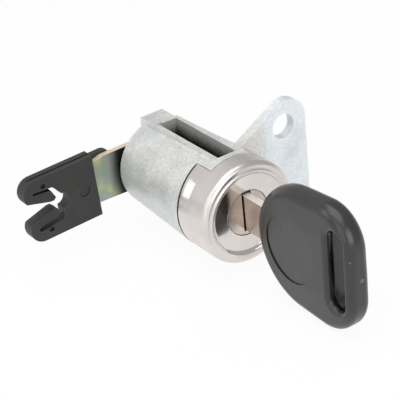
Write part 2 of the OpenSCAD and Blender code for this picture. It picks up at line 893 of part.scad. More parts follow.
housing();
face_cap();
face_seal();
plug();
shutter_flap();
shutter_pin();
key_blade();
key_head();
return_spring();
spring_washer();
drive_lever();
lever_clip();
clip_pin();
rod_clip();
for (i = [0:wafer_n - 1])
    wafer(i);
for (i = [0:wafer_n - 1])
    wafer_spring(i);
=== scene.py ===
# Looks of a car door lock cylinder: die-cast housing, polished cap, key, drive lever and rod clip.
import json
import math
import bmesh
import bpy
import numpy as np
from mathutils import Matrix, Vector


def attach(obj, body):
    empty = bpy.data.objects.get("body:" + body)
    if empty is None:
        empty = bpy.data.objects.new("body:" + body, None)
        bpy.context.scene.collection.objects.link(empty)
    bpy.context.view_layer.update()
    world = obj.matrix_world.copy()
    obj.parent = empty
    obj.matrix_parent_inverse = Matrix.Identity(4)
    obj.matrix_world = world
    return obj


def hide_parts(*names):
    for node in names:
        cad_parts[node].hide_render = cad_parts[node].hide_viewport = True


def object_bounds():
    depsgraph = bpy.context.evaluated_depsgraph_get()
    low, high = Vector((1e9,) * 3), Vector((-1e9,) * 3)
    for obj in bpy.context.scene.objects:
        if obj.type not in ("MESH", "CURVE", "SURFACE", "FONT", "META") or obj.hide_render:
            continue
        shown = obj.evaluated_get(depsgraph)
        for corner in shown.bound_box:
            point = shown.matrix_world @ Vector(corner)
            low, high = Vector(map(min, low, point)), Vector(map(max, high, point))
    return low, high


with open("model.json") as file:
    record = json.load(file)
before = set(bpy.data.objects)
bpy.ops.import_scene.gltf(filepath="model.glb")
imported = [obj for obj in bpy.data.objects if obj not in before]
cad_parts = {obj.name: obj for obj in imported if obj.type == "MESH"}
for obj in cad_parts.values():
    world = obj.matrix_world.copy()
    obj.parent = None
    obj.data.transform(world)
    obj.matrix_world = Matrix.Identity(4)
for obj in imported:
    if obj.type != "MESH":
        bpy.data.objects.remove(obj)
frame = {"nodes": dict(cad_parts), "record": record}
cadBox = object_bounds()
mm = 0.001
print("frame loaded")

# Camera, angles in degrees and lengths in mm, fitted to the cap's circles and the barrel's sides
view = {
    "azimuth": 32.366, "elevation": 29.570, "roll": -6.221,
    "distance": 303.761, "target": (-13.048, -10.7, 9.011),
    "focalPixels": 1378.465, "framePixels": 400, "sensor": 36.0,
}


def makeCamera():
    az, el, roll = (math.radians(view[k]) for k in ("azimuth", "elevation", "roll"))
    back = Vector((-math.cos(el) * math.sin(az), -math.cos(el) * math.cos(az), math.sin(el)))
    level = Vector((math.cos(az), -math.sin(az), 0))
    upright = back.cross(level)
    right = level * math.cos(roll) + upright * math.sin(roll)
    up = upright * math.cos(roll) - level * math.sin(roll)
    data = bpy.data.cameras.new("camera")
    data.sensor_width = view["sensor"]
    data.lens = view["sensor"] * view["focalPixels"] / view["framePixels"]
    data.clip_start, data.clip_end = 0.01, 10
    camera = bpy.data.objects.new("camera", data)
    turn = Matrix((right, up, back)).transposed().to_4x4()
    place = (Vector(view["target"]) + back * view["distance"]) * mm
    camera.matrix_world = Matrix.Translation(place) @ turn
    bpy.context.scene.collection.objects.link(camera)
    bpy.context.scene.camera = camera


studio = {
    "worldColor": (0.98, 0.98, 1.0), "worldStrength": 0.56,
    # metal sees the surroundings dim (third value) below the first cosine to brightSide, bright above the second
    "brightSide": (-0.95, 0.25, 0.10), "mirrorRange": (-0.55, 0.45, 0.50, 0.80),
    "floorColor": (0.93, 0.93, 0.93), "floorWhite": 0.92, "floorMirror": 1.0, "floorSize": 3.0, "floorGap": 0.4,
    # name: place in mm, size in mm, watts
    "lamps": {
        "topLamp": ((-70, -40, 410), (420, 420), 0.88),
        "leftLamp": ((-380, -160, 150), (260, 320), 0.25),
        "frontLamp": ((-40, -430, 150), (340, 260), 0.65),
        "tabLamp": ((-330, 160, 180), (110, 250), 0.13),
    },
}


def whiteForLooks(tree, plain, camera, mirror, weight=1.0):
    # White where the camera looks, the mirror strength where metal or glass does, plain for all other light
    path = tree.nodes.new("ShaderNodeLightPath").outputs
    shader = plain
    for rays, strength in (("Is Camera Ray", camera), ("Is Glossy Ray", mirror), ("Is Transmission Ray", mirror)):
        white = tree.nodes.new("ShaderNodeEmission" if weight < 1 else "ShaderNodeBackground")
        white.inputs["Color"].default_value = (1, 1, 1, 1)
        if isinstance(strength, bpy.types.NodeSocket):
            tree.links.new(strength, white.inputs["Strength"])
        else:
            white.inputs["Strength"].default_value = strength
        share = tree.nodes.new("ShaderNodeMath")
        share.operation = "MULTIPLY"
        share.inputs[1].default_value = weight
        tree.links.new(path[rays], share.inputs[0])
        mix = tree.nodes.new("ShaderNodeMixShader")
        tree.links.new(share.outputs[0], mix.inputs[0])
        tree.links.new(shader, mix.inputs[1])
        tree.links.new(white.outputs[0], mix.inputs[2])
        shader = mix.outputs[0]
    return shader


def mirrorLight(tree):
    # Strength of the surroundings seen in metal: brightest towards brightSide, dim on the other side
    ray = tree.nodes.new("ShaderNodeTexCoord").outputs["Generated"]
    along = tree.nodes.new("ShaderNodeVectorMath")
    along.operation = "DOT_PRODUCT"
    tree.links.new(ray, along.inputs[0])
    along.inputs[1].default_value = Vector(studio["brightSide"]).normalized()
    level = tree.nodes.new("ShaderNodeMapRange")
    level.interpolation_type = "SMOOTHSTEP"
    tree.links.new(along.outputs["Value"], level.inputs["Value"])
    for socket, value in zip(("From Min", "From Max", "To Min", "To Max"), studio["mirrorRange"]):
        level.inputs[socket].default_value = value
    return level.outputs["Result"]


def makeLamps(scene):
    middle = Vector((0, -8, 0)) * mm
    for name, (place, size, watts) in studio["lamps"].items():
        data = bpy.data.lights.new(name, "AREA")
        data.shape = "RECTANGLE"
        data.size, data.size_y = size[0] * mm, size[1] * mm
        data.energy = watts
        lamp = bpy.data.objects.new(name, data)
        lamp.location = Vector(place) * mm
        lamp.rotation_euler = (middle - lamp.location).to_track_quat("-Z", "Y").to_euler()
        scene.collection.objects.link(lamp)


def makeStudio():
    scene = bpy.context.scene
    scene.view_settings.view_transform = "Standard"
    world = bpy.data.worlds.new("studio")
    scene.world = world
    world.use_nodes = True
    tree = world.node_tree
    back = tree.nodes["Background"]
    back.inputs["Color"].default_value = (*studio["worldColor"], 1)
    back.inputs["Strength"].default_value = studio["worldStrength"]
    seen = whiteForLooks(tree, back.outputs[0], 1.0, mirrorLight(tree))
    tree.links.new(seen, tree.nodes["World Output"].inputs["Surface"])
    makeLamps(scene)
    half = studio["floorSize"] / 2
    z = cadBox[0][2] - studio["floorGap"] * mm
    corners = [(-half, -half, z), (half, -half, z), (half, half, z), (-half, half, z)]
    mesh = bpy.data.meshes.new("floor")
    mesh.from_pydata(corners, [], [(0, 1, 2, 3)])
    floor = bpy.data.objects.new("floor", mesh)
    scene.collection.objects.link(floor)
    paint = bpy.data.materials.new("floorPaint")
    paint.use_nodes = True
    tree = paint.node_tree
    shader = tree.nodes["Principled BSDF"]
    shader.inputs["Base Color"].default_value = (*studio["floorColor"], 1)
    shader.inputs["Roughness"].default_value = 0.9
    seen = whiteForLooks(tree, shader.outputs[0], 1.0, studio["floorMirror"], studio["floorWhite"])
    tree.links.new(seen, tree.nodes["Material Output"].inputs["Surface"])
    mesh.materials.append(paint)


# Shader tools: a small wrapper that makes, sets and joins nodes in one tree
class Tree:
    def __init__(self, tree):
        self.tree = tree

    def add(self, kind, **values):
        node = self.tree.nodes.new(kind)
        for key, value in values.items():
            if hasattr(node, key):
                setattr(node, key, value)
            else:
                self.put(node, key.replace("_", " "), value)
        return node

    def put(self, node, socket, value):
        target = node.inputs[socket]
        if isinstance(value, bpy.types.NodeSocket):
            self.tree.links.new(value, target)
        else:
            target.default_value = value

    def math(self, operation, a, b=0.0, c=0.0):
        node = self.tree.nodes.new("ShaderNodeMath")
        node.operation = operation
        for i, value in enumerate((a, b, c)):
            self.put(node, i, value)
        return node.outputs[0]

    def noise(self, vector, scale, detail=3.0, rough=0.5):
        return self.add("ShaderNodeTexNoise", Vector=vector, Scale=scale, Detail=detail,
                        Roughness=rough).outputs["Fac"]

    def ramp(self, value, stops):
        node = self.tree.nodes.new("ShaderNodeValToRGB")
        marks = node.color_ramp.elements
        while len(marks) < len(stops):
            marks.new(0.5)
        for mark, (place, color) in zip(marks, stops):
            mark.position = place
            mark.color = (*color, 1) if len(color) == 3 else color
        self.tree.links.new(value, node.inputs[0])
        return node.outputs["Color"]

    def spread(self, value, low, high, toLow=0.0, toHigh=1.0):
        node = self.add("ShaderNodeMapRange", clamp=True)
        for i, v in enumerate((value, low, high, toLow, toHigh)):
            self.put(node, i, v)
        return node.outputs[0]

    def mix(self, amount, a, b, blend="MIX"):
        node = self.tree.nodes.new("ShaderNodeMix")
        node.data_type = "RGBA"
        node.blend_type = blend
        self.put(node, 0, amount)
        self.put(node, 6, a if isinstance(a, bpy.types.NodeSocket) else (*a, 1))
        self.put(node, 7, b if isinstance(b, bpy.types.NodeSocket) else (*b, 1))
        return node.outputs[2]


def makeGroup(name, inputs, outputs):
    group = bpy.data.node_groups.new(name, "ShaderNodeTree")
    for socket, value in inputs.items():
        made = group.interface.new_socket(socket, in_out="INPUT", socket_type="NodeSocketFloat")
        made.default_value = value
    for socket, kind in outputs.items():
        group.interface.new_socket(socket, in_out="OUTPUT", socket_type=kind)
    tree = Tree(group)
    entry = group.nodes.new("NodeGroupInput")
    leave = group.nodes.new("NodeGroupOutput")
    place = tree.add("ShaderNodeTexCoord").outputs["Object"]
    return tree, entry.outputs, leave.inputs, place


floatSocket = "NodeSocketFloat"


def castGrainGroup():
    # Sand-like speckle of a die casting in two sizes, slow cloudy mottling, and a few darker stains
    tree, given, out, place = makeGroup(
        "castGrain", {"Grain Scale": 1500, "Mottle Scale": 190},
        {"Tone": floatSocket, "Gloss": floatSocket, "Height": floatSocket, "Stain": floatSocket})
    fine = tree.noise(place, given["Grain Scale"], 5, 0.7)
    cloud = tree.noise(place, given["Mottle Scale"], 4, 0.6)
    stain = tree.noise(place, 75.0, 5, 0.62)
    tone = tree.math("ADD", tree.math("MULTIPLY", cloud, 0.35), tree.math("MULTIPLY", fine, 0.65))
    tree.tree.links.new(tree.spread(tone, 0.38, 0.62), out["Tone"])
    tree.tree.links.new(cloud, out["Gloss"])
    tree.tree.links.new(fine, out["Height"])
    tree.tree.links.new(tree.spread(stain, 0.56, 0.70), out["Stain"])
    return tree.tree


def slotShadeGroup():
    # Mask for grease and painted shade in the wafer slot: 0 on the outside, 1 deep in the slot, read from the place in
    # the part; the deeper, the darker the painted shade
    tree, given, out, place = makeGroup(
        "slotShade", {"Half Width": 0.00257, "Front": -0.0036, "Rear": 0.02075, "Top": 0.0126, "Deep": 0.0078,
                      "Bottom": 0.0},
        {"Inside": floatSocket, "Depth": floatSocket})
    parts = tree.add("ShaderNodeSeparateXYZ", Vector=place).outputs
    inX = tree.math("LESS_THAN", tree.math("ABSOLUTE", parts["X"]), given["Half Width"])
    inY = tree.math("MULTIPLY", tree.math("GREATER_THAN", parts["Y"], given["Front"]),
                    tree.math("LESS_THAN", parts["Y"], given["Rear"]))
    inZ = tree.math("MULTIPLY", tree.math("LESS_THAN", parts["Z"], given["Top"]),
                    tree.math("GREATER_THAN", parts["Z"], given["Bottom"]))
    tree.tree.links.new(tree.math("MULTIPLY", tree.math("MULTIPLY", inX, inY), inZ), out["Inside"])
    tree.tree.links.new(tree.spread(parts["Z"], given["Top"], given["Deep"]), out["Depth"])
    return tree.tree


def edgeWearGroup():
    # Mask of the edges: where a rounded normal leaves the true one, broken up by noise
    tree, given, out, place = makeGroup(
        "edgeWear", {"Radius": 0.0004, "Breakup": 700}, {"Mask": floatSocket})
    round_ = tree.add("ShaderNodeBevel", samples=4)
    tree.put(round_, "Radius", given["Radius"])
    true = tree.add("ShaderNodeNewGeometry").outputs["Normal"]
    dot = tree.tree.nodes.new("ShaderNodeVectorMath")
    dot.operation = "DOT_PRODUCT"
    tree.put(dot, 0, round_.outputs[0])
    tree.put(dot, 1, true)
    bend = tree.math("SUBTRACT", 1.0, dot.outputs["Value"])
    rough = tree.noise(place, given["Breakup"], 4, 0.6)
    mask = tree.math("MULTIPLY", tree.spread(bend, 0.01, 0.12), tree.spread(rough, 0.35, 0.65))
    tree.tree.links.new(mask, out["Mask"])
    return tree.tree


def turnedLinesGroup():
    # Rings left by turning and polishing round the lock's axis: noise read along the radius and the length
    tree, given, out, place = makeGroup(
        "turnedLines", {"Line Scale": 9000}, {"Line": floatSocket})
    parts = tree.add("ShaderNodeSeparateXYZ", Vector=place).outputs
    radius = tree.math("POWER", tree.math("ADD", tree.math("MULTIPLY", parts["X"], parts["X"]),
                                          tree.math("MULTIPLY", parts["Z"], parts["Z"])), 0.5)
    around = tree.math("MULTIPLY", tree.math("ARCTAN2", parts["Z"], parts["X"]), 0.0006)
    spot = tree.add("ShaderNodeCombineXYZ", X=radius, Y=parts["Y"], Z=around).outputs[0]
    tree.tree.links.new(tree.noise(spot, given["Line Scale"], 2, 0.5), out["Line"])
    return tree.tree


def handMarksGroup():
    # Thin hairline scratches in two directions and soft smudges
    tree, given, out, place = makeGroup(
        "handMarks", {"Scratch Scale": 420, "Smudge Scale": 130},
        {"Scratch": floatSocket, "Smudge": floatSocket})
    lines = []
    for turn, stretch in (((0.4, 0.7, 0.2), (1, 14, 9)), ((1.2, 0.2, 0.9), (12, 1, 8))):
        spun = tree.add("ShaderNodeMapping", Vector=place, Rotation=turn, Scale=stretch).outputs[0]
        band = tree.noise(spun, given["Scratch Scale"], 2, 0.5)
        lines.append(tree.spread(tree.math("ABSOLUTE", tree.math("SUBTRACT", band, 0.5)), 0.0, 0.012, 1, 0))
    either = tree.math("MAXIMUM", lines[0], lines[1])
    patch = tree.spread(tree.noise(place, 160, 2, 0.5), 0.5, 0.7)
    tree.tree.links.new(tree.math("MULTIPLY", either, patch), out["Scratch"])
    tree.tree.links.new(tree.noise(place, given["Smudge Scale"], 3, 0.55), out["Smudge"])
    return tree.tree


def roundSpotGroup():
    # 1 within a radius of a place, with a soft edge
    tree, given, out, place = makeGroup("roundSpot", {"X": 0, "Y": 0, "Z": 0, "Radius": 0.0004}, {"Mask": floatSocket})
    spot = tree.add("ShaderNodeCombineXYZ", X=given["X"], Y=given["Y"], Z=given["Z"]).outputs[0]
    gap = tree.tree.nodes.new("ShaderNodeVectorMath")
    gap.operation = "DISTANCE"
    tree.put(gap, 0, place)
    tree.put(gap, 1, spot)
    share = tree.math("DIVIDE", gap.outputs["Value"], given["Radius"])
    tree.tree.links.new(tree.spread(share, 0.6, 1.0, 1, 0), out["Mask"])
    return tree.tree


def creviceGroup():
    # 1 in the open, towards 0 in narrow hollows; used to paint shade into hollows
    tree, given, out, place = makeGroup("crevice", {"Reach": 0.0016}, {"Open": floatSocket})
    hollow = tree.add("ShaderNodeAmbientOcclusion", samples=6, only_local=True)
    tree.put(hollow, "Distance", given["Reach"])
    tree.tree.links.new(tree.spread(hollow.outputs["AO"], 0.35, 0.9), out["Open"])
    return tree.tree


def upwardFaceGroup():
    # 1 on faces that look along the part's own upward direction, 0 on its sides
    tree, given, out, place = makeGroup("upwardFace", {"Low": 0.6, "High": 0.9}, {"Mask": floatSocket})
    normal = tree.add("ShaderNodeTexCoord").outputs["Normal"]
    parts = tree.add("ShaderNodeSeparateXYZ", Vector=normal).outputs
    tree.tree.links.new(tree.spread(parts["Z"], given["Low"], given["High"]), out["Mask"])
    return tree.tree


def dishZoneGroup():
    # 1 inside the cap's dish, 0 on the bead and the skirt: read from the distance to the lock's axis
    tree, given, out, place = makeGroup("dishZone", {"Radius": 0.0103}, {"Inside": floatSocket})
    parts = tree.add("ShaderNodeSeparateXYZ", Vector=place).outputs
    flat = tree.add("ShaderNodeCombineXYZ", X=parts["X"], Y=0.0, Z=parts["Z"]).outputs[0]
    length = tree.tree.nodes.new("ShaderNodeVectorMath")
    length.operation = "LENGTH"
    tree.put(length, 0, flat)
    near = tree.math("LESS_THAN", length.outputs["Value"], given["Radius"])
    front = tree.math("LESS_THAN", parts["Y"], -0.0085)
    tree.tree.links.new(tree.math("MULTIPLY", near, front), out["Inside"])
    return tree.tree


def mouldSkinGroup():
    # Fine spark-eroded skin of a plastic moulding, with faint lighter patches
    tree, given, out, place = makeGroup(
        "mouldSkin", {"Skin Scale": 3600, "Patch Scale": 90},
        {"Height": floatSocket, "Patch": floatSocket, "Speck": floatSocket})
    skin = tree.noise(place, given["Skin Scale"], 3, 0.6)
    patch = tree.noise(place, given["Patch Scale"], 3, 0.55)
    cells = tree.add("ShaderNodeTexVoronoi", Vector=place, Scale=520.0).outputs["Distance"]
    tree.tree.links.new(skin, out["Height"])
    tree.tree.links.new(tree.spread(patch, 0.35, 0.65), out["Patch"])
    tree.tree.links.new(tree.spread(cells, 0.03, 0.06, 1, 0), out["Speck"])
    return tree.tree


def passivationGroup():
    # Yellow chromate film: pale gold, green and violet patches
    tree, given, out, place = makeGroup("passivation", {"Film Scale": 150}, {"Film": "NodeSocketColor"})
    film = tree.noise(place, given["Film Scale"], 3, 0.5)
    color = tree.ramp(tree.spread(film, 0.3, 0.7), [
        (0.0, (0.56, 0.50, 0.22)), (0.22, (0.44, 0.48, 0.27)), (0.45, (0.31, 0.38, 0.30)),
        (0.62, (0.35, 0.37, 0.34)), (0.80, (0.34, 0.32, 0.37)), (1.0, (0.52, 0.52, 0.28))])
    tree.tree.links.new(color, out["Film"])
    return tree.tree


groups = {
    "castGrain": castGrainGroup(), "slotShade": slotShadeGroup(), "edgeWear": edgeWearGroup(), "turnedLines": turnedLinesGroup(),
    "handMarks": handMarksGroup(), "dishZone": dishZoneGroup(),
    "upwardFace": upwardFaceGroup(), "crevice": creviceGroup(),
    "roundSpot": roundSpotGroup(), "mouldSkin": mouldSkinGroup(), "passivation": passivationGroup(),
}
print("shader groups built")


def startMaterial(name):
    material = bpy.data.materials.new(name)
    material.use_nodes = True
    tree = Tree(material.node_tree)
    return material, tree, material.node_tree.nodes["Principled BSDF"]


def useGroup(tree, name, **values):
    node = tree.tree.nodes.new("ShaderNodeGroup")
    node.node_tree = groups[name]
    for socket, value in values.items():
        tree.put(node, socket.replace("_", " "), value)
    return node.outputs


def addBump(tree, shader, height, strength, distance):
    bump = tree.add("ShaderNodeBump", Strength=strength, Distance=distance, Height=height)
    tree.put(shader, "Normal", bump.outputs["Normal"])


casting = {
    "pale": (0.795, 0.80, 0.775), "dull": (0.575, 0.585, 0.56), "edge": (0.88, 0.885, 0.865),
    "earPale": (0.86, 0.90, 0.93), "earDull": (0.68, 0.715, 0.735), "earFrom": (0.0125, 0.0150),
    # tone below the parting line, the line's height (metres, and fall per metre to the rear), and the place of
    # the painted shadow line in the gap at the cap's rear edge
    "lowPale": (0.75, 0.765, 0.765), "lowDull": (0.59, 0.605, 0.608), "parting": 0.0033, "partingFall": 0.09,
    "capEdge": 0.00012,
    "stain": (0.55, 0.59, 0.62), "metallic": 0.55, "gloss": (0.38, 0.56), "grain": 0.00011,
    # slot inside: grease and rust tones, and painted shade from the mid grey top tone to near black deep in the slot
    "greaseAndShadeTop": (0.37, 0.38, 0.36), "greaseAndDeepShade": (0.014, 0.013, 0.012), "rust": (0.36, 0.24, 0.13),
}


def castingMaterial():
    material, tree, shader = startMaterial("zincCasting")
    grain = useGroup(tree, "castGrain")
    wear = useGroup(tree, "edgeWear", Radius=0.0005)
    shade = useGroup(tree, "slotShade")
    along = tree.add("ShaderNodeSeparateXYZ", Vector=tree.add("ShaderNodeTexCoord").outputs["Object"]).outputs
    onEar = tree.spread(along["X"], *casting["earFrom"])
    overLine = tree.math("SUBTRACT", tree.math("MULTIPLY_ADD", along["Y"], casting["partingFall"], along["Z"]),
                         casting["parting"])
    above = tree.spread(overLine, -0.0004, 0.0004)
    high = tree.mix(grain["Tone"], casting["dull"], casting["pale"])
    low = tree.mix(grain["Tone"], casting["lowDull"], casting["lowPale"])
    body = tree.mix(above, low, high)
    ear = tree.mix(grain["Tone"], casting["earDull"], casting["earPale"])
    tone = tree.mix(onEar, body, ear)
    stained = tree.mix(tree.math("MULTIPLY", grain["Stain"], 0.45), tone, casting["stain"])
    clean = tree.mix(wear["Mask"], stained, casting["edge"])
    # Painted shadow: a patchy near-black line on the housing in the gap just behind the cap's rear edge
    fromEdge = tree.math("ABSOLUTE", tree.math("SUBTRACT", along["Y"], casting["capEdge"]))
    besideCap = tree.math("MULTIPLY", tree.spread(fromEdge, 0.00016, 0.00034, 1, 0),
                          tree.math("LESS_THAN", along["X"], -0.0062))
    capGapShadow = tree.math("MULTIPLY", besideCap, tree.spread(grain["Gloss"], 0.32, 0.48, 0.45, 0.95))
    clean = tree.mix(capGapShadow, clean, casting["greaseAndDeepShade"])
    # Inside the wafer slot: grease and rust, and painted shade that darkens towards the bottom of the slot
    rusty = tree.mix(tree.math("MULTIPLY", grain["Stain"], 0.22), casting["greaseAndShadeTop"], casting["rust"])
    uneven = tree.math("ADD", shade["Depth"], tree.spread(grain["Tone"], 0, 1, -0.14, 0.14))
    greaseAndShade = tree.mix(tree.spread(uneven, 0.25, 0.90), rusty, casting["greaseAndDeepShade"])
    tree.put(shader, "Base Color", tree.mix(shade["Inside"], clean, greaseAndShade))
    tree.put(shader, "Metallic", tree.math("MULTIPLY", tree.math("SUBTRACT", 1.0, shade["Inside"]),
                                           casting["metallic"]))
    tree.put(shader, "Roughness", tree.spread(grain["Gloss"], 0.3, 0.7, *casting["gloss"]))
    ridge = tree.math("MULTIPLY", tree.spread(tree.math("ABSOLUTE", overLine), 0.0001, 0.0005, 1, 0),
                      tree.math("LESS_THAN", along["X"], -0.009))
    addBump(tree, shader, tree.math("ADD", grain["Height"], tree.math("MULTIPLY", ridge, 1.2)), 0.6, casting["grain"])
    return material


def polishedMaterial(name, bright, dark, gloss, lineDepth, lineScale=9000.0, greaseAndShadeSlots=False, mirror=None, metallic=1.0,
                     upper=None):
    # Polished metal: rings, hairline scratches and smudges change the gloss and tone a little
    material, tree, shader = startMaterial(name)
    rings = useGroup(tree, "turnedLines", Line_Scale=lineScale)
    marks = useGroup(tree, "handMarks")
    shade = tree.math("MULTIPLY", tree.spread(marks["Smudge"], 0.35, 0.65), 0.6)
    tone = tree.mix(shade, bright, dark)
    if greaseAndShadeSlots:
        # Grease and painted shade inside the wafer slot, and a painted shadow band round the mouth of the key slot on
        # the plug's face
        waferSlot = useGroup(tree, "slotShade", Top=0.0140)["Inside"]
        keySlot = useGroup(tree, "slotShade", Half_Width=0.0013, Front=-0.0100, Rear=0.03, Top=0.00545,
                           Bottom=-0.0046)["Inside"]
        slotGreaseAndShade = tree.math("MULTIPLY", tree.math("MAXIMUM", waferSlot, keySlot), 0.95)
        tone = tree.mix(slotGreaseAndShade, tone, casting["greaseAndDeepShade"])
    # Painted highlight: faces that look upwards get the lighter upper colour and less metal, so the top lamp lights
    # them brightly
    if upper:
        isUpper = useGroup(tree, "upwardFace")["Mask"]
        tone = tree.mix(isUpper, tone, upper)
        metallic = tree.spread(isUpper, 0, 1, metallic, 0.25)
    tree.put(shader, "Base Color", tone)
    base = tree.spread(marks["Smudge"], 0.3, 0.7, *gloss)
    if mirror:
        inDish = useGroup(tree, "dishZone")["Inside"]
        polish = tree.spread(marks["Smudge"], 0.3, 0.7, *mirror)
        base = tree.spread(inDish, 0.0, 1.0, base, polish)
    tree.put(shader, "Roughness", tree.math("ADD", base, tree.math("MULTIPLY", marks["Scratch"], 0.12)))
    tree.put(shader, "Metallic", metallic)
    addBump(tree, shader, rings["Line"], 0.3, lineDepth)
    return material


# Moulding marks on the key head: place and radius in metres, tone; the light grey first spot is a painted glint on a
# small ejector mark
headMarks = [((-0.0024, -0.04842, 0.0050), 0.00042, (0.42, 0.42, 0.40)),
             ((0.0004, -0.04865, -0.0003), 0.00060, (0.10, 0.10, 0.095))]


def plasticMaterial(name, base, light, gloss, skin, speckColor=(0.16, 0.16, 0.155), marks=()):
    material, tree, shader = startMaterial(name)
    mould = useGroup(tree, "mouldSkin")
    touched = useGroup(tree, "handMarks")
    wear = useGroup(tree, "edgeWear", Radius=0.0003)
    tone = tree.mix(mould["Patch"], base, light)
    worn = tree.mix(tree.math("MULTIPLY", wear["Mask"], 0.35), tone, speckColor)
    dusty = tree.mix(tree.math("MULTIPLY", mould["Speck"], 0.12), worn, speckColor)
    # Round spots painted over the tone, the light one a painted glint
    for (x, y, z), radius, color in marks:
        dusty = tree.mix(useGroup(tree, "roundSpot", X=x, Y=y, Z=z, Radius=radius)["Mask"], dusty, color)
    # Painted shade: a near black base colour and a low specular level in narrow hollows
    open_ = useGroup(tree, "crevice")["Open"]
    tree.put(shader, "Base Color", tree.mix(open_, (0.006, 0.006, 0.006), dusty))
    tree.put(shader, "Specular IOR Level", tree.spread(open_, 0, 1, 0.08, 0.6))
    tree.put(shader, "Roughness", tree.spread(touched["Smudge"], 0.3, 0.7, *gloss))
    addBump(tree, shader, mould["Height"], 0.35, skin)
    return material


def leverMaterial():
    material, tree, shader = startMaterial("yellowZinc")
    film = useGroup(tree, "passivation")
    marks = useGroup(tree, "handMarks")
    wear = useGroup(tree, "edgeWear", Radius=0.0003)
    worn = tree.mix(tree.math("MULTIPLY", wear["Mask"], 0.5), film["Film"], (0.80, 0.74, 0.52))
    # Painted highlight: upward faces get a pale cream colour and less metal, for the light on the lever's top edge
    upper = useGroup(tree, "upwardFace")["Mask"]
    paintedTopHighlight = tree.mix(marks["Smudge"], (0.86, 0.80, 0.62), (0.74, 0.56, 0.36))
    along = tree.add("ShaderNodeSeparateXYZ", Vector=tree.add("ShaderNodeTexCoord").outputs["Object"]).outputs
    facing = tree.add("ShaderNodeSeparateXYZ", Vector=tree.add("ShaderNodeTexCoord").outputs["Normal"]).outputs
    # Painted shadow of the barrel: near black on the lever's front faces next to the barrel
    barrelShadowMask = tree.math("MULTIPLY", tree.spread(along["X"], -0.0137, -0.0105), tree.spread(facing["Y"], -0.5, -0.9))
    barrelShadowed = tree.mix(barrelShadowMask, worn, (0.03, 0.03, 0.026))
    tree.put(shader, "Base Color", tree.mix(upper, barrelShadowed, paintedTopHighlight))
    tree.put(shader, "Metallic", tree.spread(upper, 0, 1, 0.8, 0.3))
    tree.put(shader, "Roughness", tree.spread(marks["Smudge"], 0.3, 0.7, 0.24, 0.38))
    addBump(tree, shader, marks["Smudge"], 0.2, 0.00005)
    return material


materials = {
    "zinc_casting": castingMaterial(),
    "polished_steel": polishedMaterial("polishedSteel", (0.75, 0.705, 0.685), (0.61, 0.565, 0.545),
                                       (0.24, 0.36), 0.000012, mirror=(0.05, 0.11)),
    "nickel_plug": polishedMaterial("nickelPlug", (0.70, 0.62, 0.565), (0.38, 0.325, 0.29),
                                    (0.14, 0.34), 0.000012, greaseAndShadeSlots=True),
    # the blade's upward faces carry a painted highlight: a pale ivory colour with less metal
    "nickel_blade": polishedMaterial("nickelBlade", (0.60, 0.52, 0.46), (0.40, 0.335, 0.29),
                                     (0.22, 0.36), 0.000002, upper=(0.90, 0.87, 0.78)),
    "plated_steel": polishedMaterial("platedSteel", (0.72, 0.73, 0.73), (0.60, 0.61, 0.61),
                                     (0.28, 0.40), 0.000008),
    "spring_steel": polishedMaterial("springSteel", (0.50, 0.51, 0.53), (0.38, 0.38, 0.40),
                                     (0.25, 0.38), 0.000004),
    "wafer_brass": polishedMaterial("waferBrass", (0.78, 0.60, 0.30), (0.62, 0.46, 0.22),
                                    (0.22, 0.36), 0.000004, greaseAndShadeSlots=True),
    "yellow_zinc": leverMaterial(),
    "black_plastic": plasticMaterial("blackPlastic", (0.010, 0.0093, 0.0082), (0.018, 0.0168, 0.0152),
                                     (0.48, 0.60), 0.00003),
    "key_plastic": plasticMaterial("keyPlastic", (0.019, 0.018, 0.017), (0.028, 0.027, 0.0255),
                                   (0.22, 0.31), 0.00002, marks=headMarks),
    "black_rubber": plasticMaterial("blackRubber", (0.03, 0.03, 0.03), (0.045, 0.045, 0.045),
                                    (0.70, 0.80), 0.00004),
}
print("materials built")

slotOf = {row["node"]: row["material_slot"] for row in frame["record"]["subparts"]}
bodyOf = {n: body for body, members in frame["record"]["behaviour"]["bodies"].items() for n in members}


def finishPiece(piece, node, bevel=0.0):
    # Rounds the edges a little, sets the material, and lets the piece stand for the CAD node
    mesh = piece.data
    mesh.materials.clear()
    mesh.materials.append(materials[slotOf[node]])
    if bevel > 0:
        addEdgeRounding(piece, bevel)
    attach(piece, bodyOf[node])
    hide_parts(node)
    return piece


# Grooves cut into the rod clip, in mm and in its own frame: low and high corners of each
clip = {
    "tilt": 2.5, "pivot": (-21.4, -0.6),
    "grooves": [((-17.0, 28.35, 7.95), (5.0, 28.85, 9.5))],
}


def makeClip():
    # The CAD form with a mould groove along its upper side
    piece = dressedCopy("rod_clip", 0.0)
    turn = -math.radians(clip["tilt"])
    x, z = clip["pivot"]
    for low, high in clip["grooves"]:
        tool = boxTool(low, high)
        tool.data.transform(Matrix.Translation((x * mm, 0, z * mm)) @ Matrix.Rotation(turn, 4, "Y"))
        cutAway(piece, tool)
    addEdgeRounding(piece, edgeRounding["rod_clip"])
    return piece


def addEdgeRounding(piece, bevel):
    cut = piece.modifiers.new("edges", "BEVEL")
    cut.width = bevel * mm
    cut.segments = 2
    cut.limit_method = "ANGLE"
    cut.angle_limit = math.radians(32)
    cut.harden_normals = False
    cut.use_clamp_overlap = True


